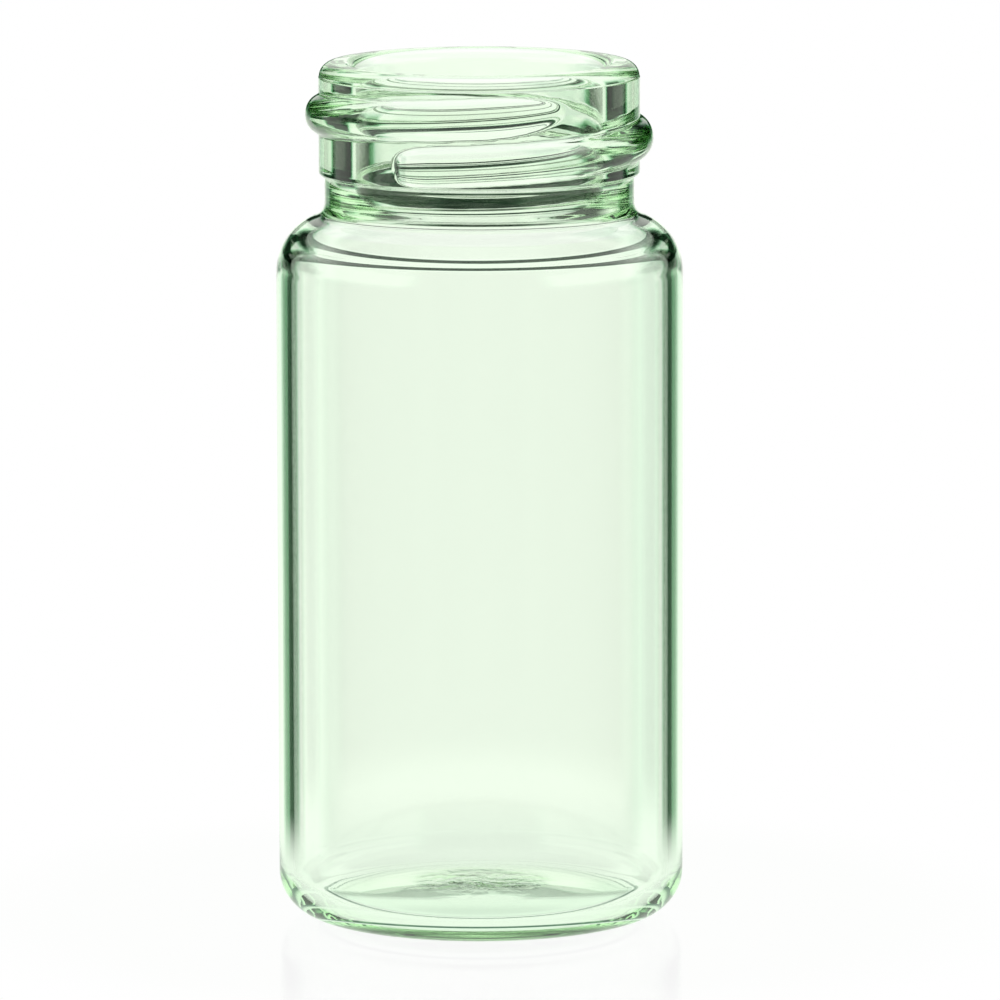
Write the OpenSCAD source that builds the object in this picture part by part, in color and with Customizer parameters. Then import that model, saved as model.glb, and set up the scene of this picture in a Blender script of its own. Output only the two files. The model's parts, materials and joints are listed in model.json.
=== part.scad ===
// Screw-neck glass sample vial, open, without its cap.
// One piece of clear glass: a tube closed to a domed base, shouldered in, and
// rolled at the mouth into a threaded neck with a fire-rounded rim.
// Origin: centre of the ring that the vial stands on. +Z runs up the axis,
// and -Y is the side where the two thread runs overlap.

/* [Body] */
// Outside diameter of the tube
body_od = 27.5; // [26:0.1:30]
// Height from the bearing ring to the rim
height = 58.2; // [45:0.5:85]
// Thickness of the tube wall
wall = 1; // [0.8:0.05:1.3]

/* [Base] */
// Radius of the rounded outside edge at the foot
heel_r = 3; // [2:0.1:4]
// Width of the flat ring that touches the table
bearing_w = 0.4; // [0.3:0.1:0.8]
// Height of the domed push-up above the bearing ring, at its centre
push_up = 1.1; // [0.5:0.1:1.6]
// Thickness of the base beside the bearing ring
base_t = 1.3; // [1:0.05:1.8]
// Radius of the rounded inside corner of the base
inner_heel_r = 2; // [1.2:0.1:2.6]

/* [Shoulder] */
// Radius of the rounded outside of the shoulder
shoulder_r = 3.9; // [3.4:0.1:4.6]
// Radius of the hollow between the shoulder and the neck
neck_fillet_r = 1.15; // [0.7:0.05:1.2]
// Radius of the rounded corner inside the shoulder
inner_shoulder_r = 2.1; // [1.6:0.1:2.6]

/* [Throat] */
// Slope of the straight stretch from that corner up to the throat, in degrees
throat_slope = 44; // [40:1:50]
// Thickness of the glass between that stretch and the hollow of the neck
throat_wall = 0.6; // [0.5:0.05:1]
// Radius of the inside edge where the body runs into the mouth
throat_r = 3.6; // [3:0.1:4]

/* [Neck] */
// Outside diameter of the neck between its threads
neck_od = 21.64; // [21.6:0.02:22.2]
// Diameter of the waist under the threads
waist_od = 20.9; // [20.4:0.02:21.2]
// Height from the waist's upper edge to the rim
finish_h = 7.6; // [7.2:0.1:8.4]
// Height from the top of the tube's straight wall to the rim
neck_rise = 14.2; // [13.8:0.1:15.8]
// Radius of the small step between the waist and the neck
waist_step_r = 0.3; // [0.2:0.05:0.4]
// Diameter of the mouth's bore
bore_d = 16.7; // [15.8:0.1:17.2]
// Radius of the rim's rounded outside edge
rim_outer_r = 1; // [0.7:0.05:1.1]
// Radius of the rim's rounded inside edge
rim_inner_r = 0.9; // [0.6:0.05:0.95]

/* [Thread] */
// Diameter over the thread's crest
thread_od = 23.5; // [23.2:0.05:24]
// Rise of the thread in one full turn
pitch = 3.175; // [2.8:0.025:3.5]
// Width of the thread ridge at its root
thread_w = 2.7; // [2.2:0.1:2.9]
// Height of the middle of the thread below the rim, at the +X side
thread_drop = 5.1; // [4.8:0.05:5.3]
// Angle round the axis at which the lower end of the thread starts
thread_start = -121; // [-150:1:-90]
// Angle that the thread sweeps from its lower end to its upper end
thread_sweep = 425; // [380:1:440]
// Angle over which the blunt lower end rounds off
thread_lead_in = 14; // [8:1:24]
// Angle over which the upper end fades into the neck
thread_run_out = 32; // [12:1:48]

/* [Hidden] */

body_r = body_od / 2;
inner_r = body_r - wall;
neck_r = neck_od / 2;
waist_r = waist_od / 2;
bore_r = bore_d / 2;

// Steps in each full turn of the rounded corners in the section
arc_steps = 64;
// Steps in one turn of the revolved glass
turn_steps = 128;

// Centre of the shoulder's round
shoulder_x = body_r - shoulder_r;
shoulder_z = height - neck_rise;

// The hollow at the waist touches the shoulder's round and the waist's wall
hollow_x = waist_r + neck_fillet_r;
hollow_rise = sqrt(pow(shoulder_r + neck_fillet_r, 2) - pow(hollow_x - shoulder_x, 2));
hollow_z = shoulder_z + hollow_rise;
hollow_angle = atan2(hollow_rise, hollow_x - shoulder_x);

// Inside, a straight stretch keeps throat_wall clear of the hollow at the waist.
// slope_reach is its distance from the origin, measured square to it.
slope_side = cos(throat_slope);
slope_lift = sin(throat_slope);
hollow_reach = hollow_x * slope_side + hollow_z * slope_lift;
slope_reach = hollow_reach - neck_fillet_r - throat_wall;

// The shoulder's inner corner touches the tube's wall and that stretch, and the
// throat's edge touches that stretch and the bore's wall
inner_shoulder_x = inner_r - inner_shoulder_r;
corner_reach = slope_reach - inner_shoulder_r - inner_shoulder_x * slope_side;
inner_shoulder_z = corner_reach / slope_lift;
throat_x = bore_r + throat_r;
throat_z = (slope_reach + throat_r - throat_x * slope_side) / slope_lift;

// The step at the waist's upper edge: a hollow quarter below a rounded quarter
waist_top = height - finish_h;
step_w = (neck_r - waist_r) / 2;
step_r = min(waist_step_r, step_w);

// The push-up is a shallow dome that meets the bearing ring at dome_angle
bearing_out = body_r - heel_r;
bearing_in = bearing_out - bearing_w;
dome_angle = 2 * atan2(push_up, bearing_in);
dome_r = bearing_in / sin(dome_angle);
inner_heel_x = inner_r - inner_heel_r;
inner_heel_z = base_t + inner_heel_r;
floor_edge = inner_heel_x - inner_heel_r * sin(dome_angle);
floor_r = floor_edge / sin(dome_angle);
floor_centre_z = inner_heel_z - inner_heel_r * cos(dome_angle) - floor_r * cos(dome_angle);

// The thread's root is sunk a little way into the neck, to fuse with it
thread_bite = 0.25;
ridge_root = neck_r - thread_bite;
// Points across the ridge and rings in one turn of the thread
ridge_steps = 10;
ring_steps = 72;
// Share of the ridge's size that is left at the very tip of each end
tip_share = 0.1;

// Points along a round from angle a to angle b, about the centre (x, z)
function arc(x, z, r, a, b) =
    let (n = max(2, ceil(abs(b - a) * arc_steps / 360)))
    [for (i = [0 : n]) let (t = a + (b - a) * i / n) [x + r * cos(t), z + r * sin(t)]];

// Outside of the glass, from the middle of the underside up to the rim
function outside() = concat(
    arc(0, push_up - dome_r, dome_r, 90, 90 - dome_angle),
    arc(bearing_out, heel_r, heel_r, -90, 0),
    arc(shoulder_x, shoulder_z, shoulder_r, 0, hollow_angle),
    arc(hollow_x, hollow_z, neck_fillet_r, hollow_angle - 180, -180),
    arc(waist_r + step_r, waist_top - step_r, step_r, 180, 90),
    arc(neck_r - step_r, waist_top + step_r, step_r, -90, 0),
    arc(neck_r - rim_outer_r, height - rim_outer_r, rim_outer_r, 0, 90)
);

// Inside of the glass, from the rim down to the middle of the floor
function inside() = concat(
    arc(bore_r + rim_inner_r, height - rim_inner_r, rim_inner_r, 90, 180),
    arc(throat_x, throat_z, throat_r, -180, throat_slope - 180),
    arc(inner_shoulder_x, inner_shoulder_z, inner_shoulder_r, throat_slope, 0),
    arc(inner_heel_x, inner_heel_z, inner_heel_r, 0, -90 - dome_angle),
    arc(0, floor_centre_z, floor_r, 90 - dome_angle, 90)
);

// Share of the full ridge at angle a past the start: rounded at both ends
function ridge_share(a) =
    let (lead = min(1, a / thread_lead_in))
    let (fade = min(1, (thread_sweep - a) / thread_run_out))
    max(tip_share, sqrt(1 - pow(1 - lead, 2)) * sin(90 * fade));

// One cross-section of the ridge at angle a past the start of the thread
function ridge_ring(a) =
    let (share = ridge_share(a))
    let (turn = thread_start + a)
    let (mid = height - thread_drop + pitch * turn / 360)
    let (half_w = thread_w / 2 * sqrt(share))
    let (rise = (thread_od / 2 - ridge_root) * share)
    [for (j = [0 : ridge_steps])
        let (u = -90 + 180 * j / ridge_steps)
        let (r = ridge_root + rise * cos(u))
        [r * cos(turn), r * sin(turn), mid + half_w * sin(u)]];

module thread_ridge() {
    rings = ceil(thread_sweep * ring_steps / 360);
    m = ridge_steps + 1;
    points = [for (i = [0 : rings]) each ridge_ring(thread_sweep * i / rings)];
    sides = [for (i = [0 : rings - 1], j = [0 : m - 1])
        each [
            [i * m + j, i * m + (j + 1) % m, (i + 1) * m + j],
            [i * m + (j + 1) % m, (i + 1) * m + (j + 1) % m, (i + 1) * m + j]
        ]];
    low_end = [for (j = [m - 1 : -1 : 0]) j];
    high_end = [for (j = [0 : m - 1]) rings * m + j];
    polyhedron(points = points, faces = concat(sides, [low_end], [high_end]));
}

module vial() {
    color("honeydew", 0.45) {
        rotate_extrude($fn = turn_steps) polygon(concat(outside(), inside()));
        thread_ridge();
    }
}

vial();
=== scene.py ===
import json
import math

import bpy
import numpy as np
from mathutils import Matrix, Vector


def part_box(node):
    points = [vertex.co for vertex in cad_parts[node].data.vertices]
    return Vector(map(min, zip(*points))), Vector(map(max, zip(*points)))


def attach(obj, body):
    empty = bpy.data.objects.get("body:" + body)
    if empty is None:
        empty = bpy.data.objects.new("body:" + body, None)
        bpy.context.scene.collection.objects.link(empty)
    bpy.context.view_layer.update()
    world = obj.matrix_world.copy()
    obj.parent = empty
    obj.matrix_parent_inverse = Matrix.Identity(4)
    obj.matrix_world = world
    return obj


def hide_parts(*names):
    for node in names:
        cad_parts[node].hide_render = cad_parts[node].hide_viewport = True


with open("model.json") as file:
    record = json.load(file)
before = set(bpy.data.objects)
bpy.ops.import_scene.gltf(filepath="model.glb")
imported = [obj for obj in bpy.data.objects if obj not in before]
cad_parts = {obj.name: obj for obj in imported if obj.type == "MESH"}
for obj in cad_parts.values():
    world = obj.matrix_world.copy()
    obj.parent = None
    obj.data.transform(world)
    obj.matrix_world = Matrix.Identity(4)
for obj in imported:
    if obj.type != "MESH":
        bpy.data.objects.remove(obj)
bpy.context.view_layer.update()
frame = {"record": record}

# ---------------------------------------------------------------------------
# The camera
# A long lens stands a little over half a metre in front of the vial and looks
# slightly down on it, so that the mouth and the foot show as thin ellipses.
# ---------------------------------------------------------------------------
mm = 0.001
camera_distance = 642 * mm
camera_height = 125.4 * mm
camera_aside = 1.55 * mm
camera_pitch = math.radians(8.6)
camera_roll = math.radians(0.12)
lens = bpy.data.cameras.new("camera")
lens.sensor_width = 36
lens.lens = 344.5
lens.clip_start = 10 * mm
lens.clip_end = 20
camera = bpy.data.objects.new("camera", lens)
camera.location = (camera_aside, -camera_distance, camera_height)
camera.rotation_euler = (math.pi / 2 - camera_pitch, camera_roll, 0)
bpy.context.scene.collection.objects.link(camera)
bpy.context.scene.camera = camera

# ---------------------------------------------------------------------------
# The glass body
# One piece of clear soda glass. A tube is closed at one end in a flame, set
# down on a former that domes its base, then shouldered in, pressed between
# thread rollers and fire-rounded at the mouth.
# ---------------------------------------------------------------------------
low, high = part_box("vial")
height = high[2] - low[2]
body_r = (high[0] - low[0]) / 2
mouth = next(m for m in frame["record"]["mounts"] if m["name"] == "mouth")
bore_r = mouth["dims"]["r_mm"] * mm
wall = 1.0 * mm
inner_r = body_r - wall
heel_r = 3 * mm
bearing_w = 0.4 * mm
push_up = 1.1 * mm
base_t = 1.3 * mm
inner_heel_r = 2 * mm
shoulder_r = 3.9 * mm
neck_fillet_r = 1.15 * mm
inner_shoulder_r = 2.1 * mm
throat_slope = 44
throat_wall = 0.6 * mm
throat_r = 3.6 * mm
neck_r = 10.82 * mm
waist_r = 10.45 * mm
finish_h = 7.6 * mm
neck_rise = 14.2 * mm
rim_outer_r = 1.0 * mm
rim_inner_r = 0.9 * mm
thread_r = 11.75 * mm
pitch = 3.175 * mm
thread_w = 2.7 * mm
thread_drop = 5.1 * mm
thread_start = math.radians(-121)
thread_sweep = math.radians(425)
thread_lead_in = math.radians(14)
thread_run_out = math.radians(32)
thread_bite = 0.25 * mm
thread_blend = 0.16 * mm
columns = 320


def arc(x, z, r, a, b, n):
    """n points along a circle of radius r about (x, z), from angle a to b in degrees."""
    t = np.radians(np.linspace(a, b, n))
    return np.stack([x + r * np.cos(t), z + r * np.sin(t)], -1)


def run(p, q, n):
    """n inner points of the straight line from p to q, crowded towards both ends."""
    t = (1 - np.cos(np.pi * np.arange(1, n + 1) / (n + 1))) / 2
    return np.array(p) + t[:, None] * (np.array(q) - np.array(p))


def glass_section():
    """Closed outline of the glass from the axis underneath, out and up over
    the rim, and down inside to the axis again. Each arc ends where the next
    stretch touches it. Returns the points (r, z) and a mask of those on the
    outside of the neck, where the thread is raised."""
    shoulder_x = body_r - shoulder_r
    shoulder_z = height - neck_rise
    hollow_x = waist_r + neck_fillet_r
    hollow_rise = math.sqrt((shoulder_r + neck_fillet_r) ** 2 - (hollow_x - shoulder_x) ** 2)
    hollow_z = shoulder_z + hollow_rise
    hollow_angle = math.degrees(math.atan2(hollow_rise, hollow_x - shoulder_x))
    side = math.cos(math.radians(throat_slope))
    lift = math.sin(math.radians(throat_slope))
    slope_reach = hollow_x * side + hollow_z * lift - neck_fillet_r - throat_wall
    corner_x = inner_r - inner_shoulder_r
    corner_z = (slope_reach - inner_shoulder_r - corner_x * side) / lift
    throat_x = bore_r + throat_r
    throat_z = (slope_reach + throat_r - throat_x * side) / lift
    corner_end = (corner_x + inner_shoulder_r * side, corner_z + inner_shoulder_r * lift)
    throat_end = (throat_x - throat_r * side, throat_z - throat_r * lift)
    waist_top = height - finish_h
    step_r = (neck_r - waist_r) / 2
    bearing_out = body_r - heel_r
    bearing_in = bearing_out - bearing_w
    dome = 2 * math.atan2(push_up, bearing_in)
    dome_r = bearing_in / math.sin(dome)
    dome_deg = math.degrees(dome)
    inner_heel_x = inner_r - inner_heel_r
    inner_heel_z = base_t + inner_heel_r
    floor_r = (inner_heel_x - inner_heel_r * math.sin(dome)) / math.sin(dome)
    floor_z = inner_heel_z - inner_heel_r * math.cos(dome) - floor_r * math.cos(dome)
    parts = [
        arc(0, push_up - dome_r, dome_r, 90, 90 - dome_deg, 26),
        run((bearing_in, 0), (bearing_out, 0), 1),
        arc(bearing_out, heel_r, heel_r, -90, 0, 18),
        run((body_r, heel_r), (body_r, shoulder_z), 9),
        arc(shoulder_x, shoulder_z, shoulder_r, 0, hollow_angle, 20),
        arc(hollow_x, hollow_z, neck_fillet_r, hollow_angle - 180, -180, 9)[1:],
        run((waist_r, hollow_z), (waist_r, waist_top - step_r), 4),
        arc(waist_r + step_r, waist_top - step_r, step_r, 180, 90, 5),
        arc(neck_r - step_r, waist_top + step_r, step_r, -90, 0, 5)[1:],
    ]
    before = sum(len(p) for p in parts)
    neck = run((neck_r, waist_top + step_r), (neck_r, height - rim_outer_r), 66)
    parts += [
        neck,
        arc(neck_r - rim_outer_r, height - rim_outer_r, rim_outer_r, 0, 90, 14),
        arc(bore_r + rim_inner_r, height - rim_inner_r, rim_inner_r, 90, 180, 13),
        run((bore_r, height - rim_inner_r), (bore_r, throat_z), 7),
        arc(throat_x, throat_z, throat_r, -180, throat_slope - 180, 22),
        run(throat_end, corner_end, 6),
        arc(corner_x, corner_z, inner_shoulder_r, throat_slope, 0, 20),
        run((inner_r, corner_z), (inner_r, inner_heel_z), 9),
        arc(inner_heel_x, inner_heel_z, inner_heel_r, 0, -90 - dome_deg, 14),
        arc(0, floor_z, floor_r, 90 - dome_deg, 90, 24)[1:],
    ]
    points = np.concatenate(parts)
    on_neck = np.zeros(len(points), bool)
    on_neck[before:before + len(neck)] = True
    return points, on_neck


def raised_thread(turn, z):
    """How far the thread stands out of the neck at an angle and a height.
    The ridge is half an ellipse whose middle climbs one pitch a turn. It
    rounds off at the lower end, fades out at the upper end, and its root
    blends into the neck by a smooth maximum."""
    least_share = 1e-6
    out = np.zeros(np.broadcast(turn, z).shape)
    for lap in (-1, 0, 1):
        a = turn + lap * 2 * np.pi - thread_start
        lead = np.clip(a / thread_lead_in, 0, 1)
        fade = np.clip((thread_sweep - a) / thread_run_out, 0, 1)
        share = np.sqrt(1 - (1 - lead) ** 2) * np.sin(np.pi / 2 * fade)
        middle = height - thread_drop + pitch * (turn + lap * 2 * np.pi) / (2 * np.pi)
        half = thread_w / 2 * np.sqrt(np.maximum(share, least_share))
        s = (z - middle) / half
        bulge = np.sqrt(np.clip(1 - s * s, 0, 1)) - 2 * np.clip(np.abs(s) - 1, 0, 2)
        top = (thread_r - neck_r + thread_bite) * share * bulge - thread_bite
        out = np.maximum(out, (top + np.sqrt(top * top + thread_blend * thread_blend)) / 2)
    return out


def glass_mesh(name):
    """The section carried round the axis on a grid of columns and rows, with
    the thread raised on the neck. Each pole is one vertex joined by a fan."""
    section, on_neck = glass_section()
    angle = 2 * np.pi * np.arange(columns) / columns
    r = np.repeat(section[:, :1], columns, 1)
    z = np.repeat(section[:, 1:], columns, 1)
    edge = np.where(on_neck)[0]
    r[edge] += raised_thread(angle[None, :], z[edge])
    grid = np.stack([r * np.cos(angle), r * np.sin(angle), z + low[2]], -1)
    body = grid[1:-1].reshape(-1, 3)
    verts = np.concatenate([body, grid[:1, 0], grid[-1:, 0]])
    under_pole = len(body)
    inside_pole = under_pole + 1
    j = np.arange(columns)
    k = (j + 1) % columns
    last_row = (len(section) - 3) * columns
    i = np.arange(0, last_row, columns)[:, None]
    quads = np.stack([i + j, i + k, i + columns + k, i + columns + j], -1).reshape(-1, 4)
    under = np.stack([k, j, np.full(columns, under_pole)], -1)
    inside = np.stack([last_row + j, last_row + k, np.full(columns, inside_pole)], -1)
    mesh = bpy.data.meshes.new(name)
    mesh.from_pydata(verts.tolist(), [], quads.tolist() + under.tolist() + inside.tolist())
    mesh.validate()
    mesh.shade_smooth()
    return mesh


def linear(hex_colour):
    """An sRGB hex colour as linear red, green, blue and an alpha of one."""
    c = np.array([int(hex_colour[i:i + 2], 16) for i in (1, 3, 5)]) / 255
    c = np.where(c <= 0.04045, c / 12.92, ((c + 0.055) / 1.055) ** 2.4)
    return (*c.tolist(), 1)


def node(tree, kind, links=(), values=(), stops=(), **settings):
    """Adds a node, sets its sockets or properties by name or its sockets by
    number, links other nodes' outputs to its sockets, and gives a colour ramp
    its stops, each a place from 0 to 1 and a hex colour."""
    made = tree.nodes.new(kind)
    for key, value in settings.items():
        socket = key.replace("_", " ")
        if socket in made.inputs:
            made.inputs[socket].default_value = value
        else:
            setattr(made, key, value)
    for number, value in values:
        made.inputs[number].default_value = value
    for source, target in links:
        tree.links.new(source, made.inputs[target])
    if stops:
        ramp = made.color_ramp.elements
        ramp.remove(ramp[1])
        ramp[0].color = linear(stops[0][1])
        for place, hex_colour in stops[1:]:
            ramp.new(place).color = linear(hex_colour)
    return made


# Flame-worked soda glass: clear where it is thin, and a slightly yellow green
# where light crosses a lot of it. Slow waves from the flame bend what shows
# through the wall, fine rings from the shaping tools run round the neck, and
# the spot where the flame closed the tube is puckered, in the base's middle.
wave_size = 7.14 * mm
wave_height = 0.0015 * mm
ring_run = 11.1 * mm
ring_size = 0.3846 * mm
ring_height = 0.001 * mm
rings_from = 45 * mm
rings_full = 47.5 * mm
pucker_size = 2.38 * mm
pucker_height = 0.08 * mm
pucker_full_r = 1 * mm
pucker_r = 6 * mm
glass = bpy.data.materials.new("flame-worked soda glass")
glass.use_nodes = True
tree = glass.node_tree
tree.nodes.clear()
place = node(tree, "ShaderNodeTexCoord")
waves = node(tree, "ShaderNodeTexNoise", Scale=1 / wave_size, Detail=1.0, Roughness=0.4,
             links=[(place.outputs["Object"], "Vector")])
waved = node(tree, "ShaderNodeBump", Strength=1.0, Distance=wave_height,
             links=[(waves.outputs[0], "Height")])
stretch = node(tree, "ShaderNodeMapping", Scale=(1 / ring_run, 1 / ring_run, 1 / ring_size),
               links=[(place.outputs["Object"], "Vector")])
rings = node(tree, "ShaderNodeTexNoise", Scale=1.0, Detail=2.0,
             links=[(stretch.outputs[0], "Vector")])
split = node(tree, "ShaderNodeSeparateXYZ", links=[(place.outputs["Object"], 0)])
near_neck = node(tree, "ShaderNodeMapRange", interpolation_type="SMOOTHSTEP",
                 From_Min=rings_from, From_Max=rings_full, links=[(split.outputs["Z"], 0)])
neck_rings = node(tree, "ShaderNodeMath", operation="MULTIPLY",
                  links=[(rings.outputs[0], 0), (near_neck.outputs[0], 1)])
ringed = node(tree, "ShaderNodeBump", Strength=1.0, Distance=ring_height,
              links=[(neck_rings.outputs[0], "Height"), (waved.outputs[0], "Normal")])
flat = node(tree, "ShaderNodeVectorMath", operation="MULTIPLY", values=[(1, (1, 1, 0))],
            links=[(place.outputs["Object"], 0)])
from_axis = node(tree, "ShaderNodeVectorMath", operation="LENGTH", links=[(flat.outputs[0], 0)])
central = node(tree, "ShaderNodeMapRange", interpolation_type="SMOOTHSTEP", From_Min=pucker_full_r,
               From_Max=pucker_r, To_Min=1.0, To_Max=0.0, links=[(from_axis.outputs["Value"], 0)])
swirl = node(tree, "ShaderNodeTexNoise", Scale=1 / pucker_size, Detail=2.0, Distortion=1.2,
             links=[(place.outputs["Object"], "Vector")])
knot = node(tree, "ShaderNodeMath", operation="MULTIPLY",
            links=[(swirl.outputs[0], 0), (central.outputs[0], 1)])
puckered = node(tree, "ShaderNodeBump", Strength=1.0, Distance=pucker_height,
                links=[(knot.outputs[0], "Height"), (ringed.outputs[0], "Normal")])
skin = node(tree, "ShaderNodeBsdfPrincipled", Base_Color=linear("#ffffff"), Roughness=0.0, IOR=1.51,
            Transmission_Weight=1.0, links=[(puckered.outputs[0], "Normal")])
tint = node(tree, "ShaderNodeVolumeAbsorption", Density=27.0, Color=linear("#81f830"))
node(tree, "ShaderNodeOutputMaterial",
     links=[(skin.outputs[0], "Surface"), (tint.outputs[0], "Volume")])

vial = bpy.data.objects.new("glass_body", glass_mesh("glass_body"))
bpy.context.scene.collection.objects.link(vial)
vial.data.materials.append(glass)
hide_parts("vial")
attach(vial, "root")

# ---------------------------------------------------------------------------
# The floor
# A lit sheet of white acrylic, polished under the vial, where it gives a
# faint reflection. Farther out only the camera sees it, so that light from
# below the table reaches the glass.
# ---------------------------------------------------------------------------
# Lit acrylic: plain white to the camera. Seen through the glass it carries painted
# shade: pale green under the vial and faintly green farther out, with a painted
# dark shadow ring under the foot, where the glass shuts the light out.
foot_r = body_r - heel_r
painted_shade_reach = 20 * mm
# Painted shade and painted shadow by distance from the axis: pale green under the vial, a dark shadow
# ring under the foot, faintly green beyond.
painted_shade_through_glass = [(0, "#dff3df"), (foot_r - 0.25 * mm, "#dff3df"), (foot_r - 0.1 * mm, "#456f59"),
              (foot_r + 0.2 * mm, "#456f59"), (foot_r + 0.35 * mm, "#effaed"), (12.5 * mm, "#ecf9ea"),
              (14 * mm, "#f1fcef")]
glow_strength = 1.08
polished_r = 26 * mm
unpolished_r = 42 * mm
polish_share = 0.25
solid_r = 24 * mm
open_r = 48 * mm
acrylic = bpy.data.materials.new("lit white acrylic")
acrylic.use_nodes = True
tree = acrylic.node_tree
tree.nodes.clear()
place = node(tree, "ShaderNodeTexCoord")
flat = node(tree, "ShaderNodeVectorMath", operation="MULTIPLY", values=[(1, (1, 1, 0))],
            links=[(place.outputs["Object"], 0)])
from_axis = node(tree, "ShaderNodeVectorMath", operation="LENGTH", links=[(flat.outputs[0], 0)])
outwards = node(tree, "ShaderNodeMapRange", From_Max=painted_shade_reach, links=[(from_axis.outputs["Value"], 0)])
shade = node(tree, "ShaderNodeValToRGB", links=[(outwards.outputs[0], 0)],
             stops=[(r / painted_shade_reach, hex_colour) for r, hex_colour in painted_shade_through_glass])
# The painted shade glows only for light that comes through the glass; the camera gets plain white.
painted_shade_glow = node(tree, "ShaderNodeEmission", Strength=glow_strength, links=[(shade.outputs[0], "Color")])
clean = node(tree, "ShaderNodeEmission", Color=linear("#ffffff"), Strength=1.0)
ray = node(tree, "ShaderNodeLightPath")
glow = node(tree, "ShaderNodeMixShader",
            links=[(ray.outputs["Is Camera Ray"], 0), (painted_shade_glow.outputs[0], 1), (clean.outputs[0], 2)])
polish = node(tree, "ShaderNodeBsdfAnisotropic", Roughness=0.02)
grazing = node(tree, "ShaderNodeFresnel", IOR=1.45)
polished = node(tree, "ShaderNodeMapRange", interpolation_type="SMOOTHSTEP", From_Min=polished_r,
                From_Max=unpolished_r, To_Min=polish_share, To_Max=0.0,
                links=[(from_axis.outputs["Value"], 0)])
gloss = node(tree, "ShaderNodeMath", operation="MULTIPLY",
             links=[(grazing.outputs[0], 0), (polished.outputs[0], 1)])
sheet = node(tree, "ShaderNodeMixShader",
             links=[(gloss.outputs[0], 0), (glow.outputs[0], 1), (polish.outputs[0], 2)])
beyond = node(tree, "ShaderNodeMapRange", interpolation_type="SMOOTHSTEP", From_Min=solid_r,
              From_Max=open_r, links=[(from_axis.outputs["Value"], 0)])
unseen = node(tree, "ShaderNodeMath", operation="SUBTRACT", values=[(0, 1)],
              links=[(ray.outputs["Is Camera Ray"], 1)])
opened = node(tree, "ShaderNodeMath", operation="MULTIPLY",
              links=[(beyond.outputs[0], 0), (unseen.outputs[0], 1)])
hole = node(tree, "ShaderNodeBsdfTransparent")
whole = node(tree, "ShaderNodeMixShader",
             links=[(opened.outputs[0], 0), (sheet.outputs[0], 1), (hole.outputs[0], 2)])
node(tree, "ShaderNodeOutputMaterial", links=[(whole.outputs[0], "Surface")])

reach = 12.0
corners = [(x * reach, y * reach, low[2]) for x, y in ((-1, -1), (1, -1), (1, 1), (-1, 1))]
sheet_mesh = bpy.data.meshes.new("floor")
sheet_mesh.from_pydata(corners, [], [(0, 1, 2, 3)])
sheet_mesh.materials.append(acrylic)
floor = bpy.data.objects.new("floor", sheet_mesh)
bpy.context.scene.collection.objects.link(floor)

# ---------------------------------------------------------------------------
# The flags
# Sheets of green gelatine, bent round the vial and hung out of sight, which
# the rounded corners of the glass pick up as dark edges. Most hang two metres
# off, and three rails and a card hang close behind, just above the shoulder.
# ---------------------------------------------------------------------------
# Bottle-green gelatine: the denser it is, the darker and greener it makes
# what shows through it. A flag that isn't direct acts only on light that the
# glass has mirrored, so that it never shows straight through the glass.
gel_colours = [(0, "#ffffff"), (0.15, "#ecf2ef"), (0.35, "#cee5d8"), (0.55, "#9fc2a8"),
               (0.8, "#6b8976"), (1, "#1f3024")]
gelatine = bpy.data.materials.new("bottle-green gelatine")
gelatine.use_nodes = True
tree = gelatine.node_tree
tree.nodes.clear()
weight = node(tree, "ShaderNodeAttribute", attribute_name="weight")
direct = node(tree, "ShaderNodeAttribute", attribute_name="direct")
ray = node(tree, "ShaderNodeLightPath")
caught = node(tree, "ShaderNodeMath", operation="MAXIMUM", use_clamp=True,
              links=[(ray.outputs["Glossy Depth"], 0), (direct.outputs["Fac"], 1)])
dense = node(tree, "ShaderNodeMath", operation="MULTIPLY",
             links=[(weight.outputs["Fac"], 0), (caught.outputs[0], 1)])
shade = node(tree, "ShaderNodeValToRGB", links=[(dense.outputs[0], 0)], stops=gel_colours)
film = node(tree, "ShaderNodeBsdfTransparent", links=[(shade.outputs[0], "Color")])
node(tree, "ShaderNodeOutputMaterial", links=[(film.outputs[0], "Surface")])

far = 2.0
rail_distance = 0.2
rail_level = 48 * mm
card_distance = 0.1
card_level = 46 * mm


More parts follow.
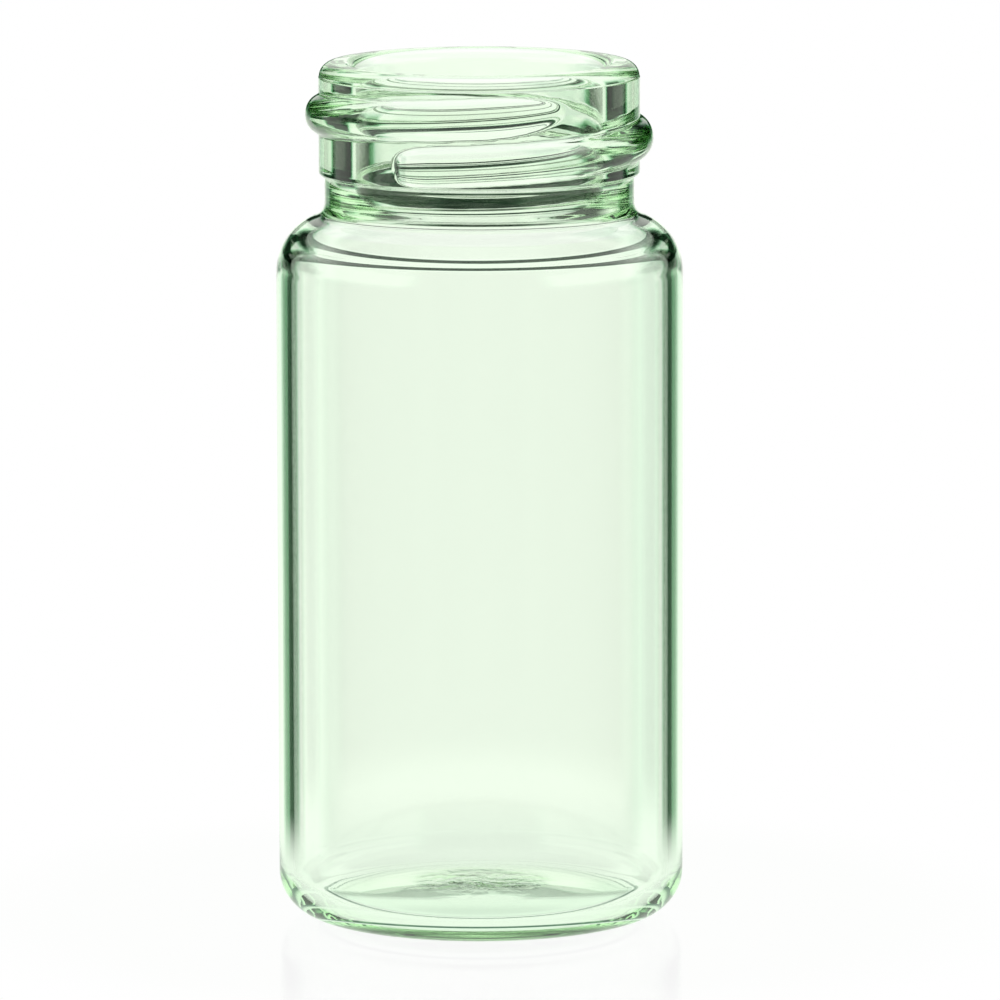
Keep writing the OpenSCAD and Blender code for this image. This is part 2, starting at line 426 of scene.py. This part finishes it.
def flag(name, across, up, soft_across, soft_up, depth=1, distance=far, level=height / 2,
         through=True, mirrored=False, direct=True):
    """A sheet bent round the vial between two azimuths and two elevations, in
    degrees, as it is seen from the axis at the given level: a grid on a
    cylinder, whose height is the distance times the tangent of the elevation.
    Azimuth 0 is straight behind the vial and grows to the left. Depth is how
    dense the gelatine is, and it thins to nothing over its soft margins.
    Through and mirrored say which light off the glass meets the sheet."""
    points_across = 60
    points_up = 30
    a = np.linspace(across[0] - soft_across, across[1] + soft_across, points_across)
    e = np.linspace(up[0] - soft_up, up[1] + soft_up, points_up)
    side_fade = np.clip(np.minimum(a - a[0], a[-1] - a) / (2 * soft_across), 0, 1)
    rise_fade = np.clip(np.minimum(e - e[0], e[-1] - e) / (2 * soft_up), 0, 1)
    weight = depth * np.outer(side_fade ** 2 * (3 - 2 * side_fade), rise_fade ** 2 * (3 - 2 * rise_fade))
    turn = np.radians(90 + a)[:, None] + 0 * e
    rise = np.radians(e)[None, :] + 0 * turn
    points = np.stack([distance * np.cos(turn), distance * np.sin(turn),
                       level + distance * np.tan(rise)], -1).reshape(-1, 3)
    i = np.arange(points_across - 1)[:, None] * points_up + np.arange(points_up - 1)
    quads = np.stack([i, i + points_up, i + points_up + 1, i + 1], -1).reshape(-1, 4)
    mesh = bpy.data.meshes.new(name)
    mesh.from_pydata(points.tolist(), [], quads.tolist())
    mesh.attributes.new("weight", "FLOAT", "POINT").data.foreach_set("value", weight.ravel())
    straight = np.full(weight.size, float(direct))
    mesh.attributes.new("direct", "FLOAT", "POINT").data.foreach_set("value", straight)
    mesh.materials.append(gelatine)
    sheet = bpy.data.objects.new(name, mesh)
    bpy.context.scene.collection.objects.link(sheet)
    sheet.visible_camera = False
    sheet.visible_diffuse = False
    sheet.visible_shadow = False
    sheet.visible_transmission = through
    sheet.visible_glossy = mirrored


for hand, side in (("right", -1), ("left", 1)):
    flag(hand + " thin flag", sorted((side * 18.5, side * 31)), (-16, 0), 1.5, 9, 0.65)
    flag(hand + " low flag", sorted((side * 30.5, side * 53)), (-17, -1), 3, 7, mirrored=True)
    flag(hand + " side rail", sorted((side * 20, side * 75)), (3.3, 13.4), 3, 0.6,
         distance=rail_distance, level=rail_level, mirrored=True)
    flag(hand + " neck flag", sorted((side * 21, side * 54)), (-6.3, 0), 2, 0.25)
    flag(hand + " high flag", sorted((side * 17, side * 54)), (-5, 27), 6, 6, mirrored=True)
flag("near flag", (77, 283), (-30, 4), 4, 5, mirrored=True, direct=False)
flag("upper near flag", (140, 220), (0, 42), 8, 4, mirrored=True, direct=False)
flag("left veil", (6, 12), (-30, 30), 1.5, 6, 0.08)
flag("right veil", (-14, -6.5), (-30, 30), 1.5, 6, 0.17)
flag("rail", (-22, 22), (3.3, 13.4), 3, 0.6, distance=rail_distance, level=rail_level)
flag("shoulder card", (-24, 24), (1.5, 9), 4, 1.5, distance=card_distance, level=card_level,
     through=False, mirrored=True)

# ---------------------------------------------------------------------------
# The room
# A white studio to the camera. To the glass it is a wide white window, with
# pale green gelatine over all but its foot, under a dark ceiling that is
# lighter straight overhead.
# ---------------------------------------------------------------------------
window_strength = 1.1
sky = [(-90, "#ffffff"), (-40, "#ffffff"), (-30, "#fafff8"), (-15, "#fafff8"), (-13.5, "#f6fff2"),
       (37, "#f6fff2"), (40, "#b5bcb3"), (43, "#616161"), (60, "#616161"), (75, "#bcbcbc")]
room = bpy.data.worlds.new("studio")
bpy.context.scene.world = room
room.use_nodes = True
tree = room.node_tree
tree.nodes.clear()
place = node(tree, "ShaderNodeTexCoord")
split = node(tree, "ShaderNodeSeparateXYZ", links=[(place.outputs["Generated"], 0)])
climb = node(tree, "ShaderNodeMapRange", From_Min=-1.0, links=[(split.outputs["Z"], 0)])
light = node(tree, "ShaderNodeValToRGB", links=[(climb.outputs[0], 0)],
             stops=[((1 + math.sin(math.radians(up))) / 2, hex_colour) for up, hex_colour in sky])
window = node(tree, "ShaderNodeBackground", Strength=window_strength, links=[(light.outputs[0], "Color")])
plain = node(tree, "ShaderNodeBackground", Color=linear("#ffffff"))
ray = node(tree, "ShaderNodeLightPath")
seen = node(tree, "ShaderNodeMixShader",
            links=[(ray.outputs["Is Camera Ray"], 0), (window.outputs[0], 1), (plain.outputs[0], 2)])
node(tree, "ShaderNodeOutputWorld", links=[(seen.outputs[0], "Surface")])

scene = bpy.context.scene
scene.view_settings.view_transform = "Standard"
scene.cycles.max_bounces = 32
scene.cycles.transmission_bounces = 24
scene.cycles.glossy_bounces = 16
scene.cycles.use_denoising = True
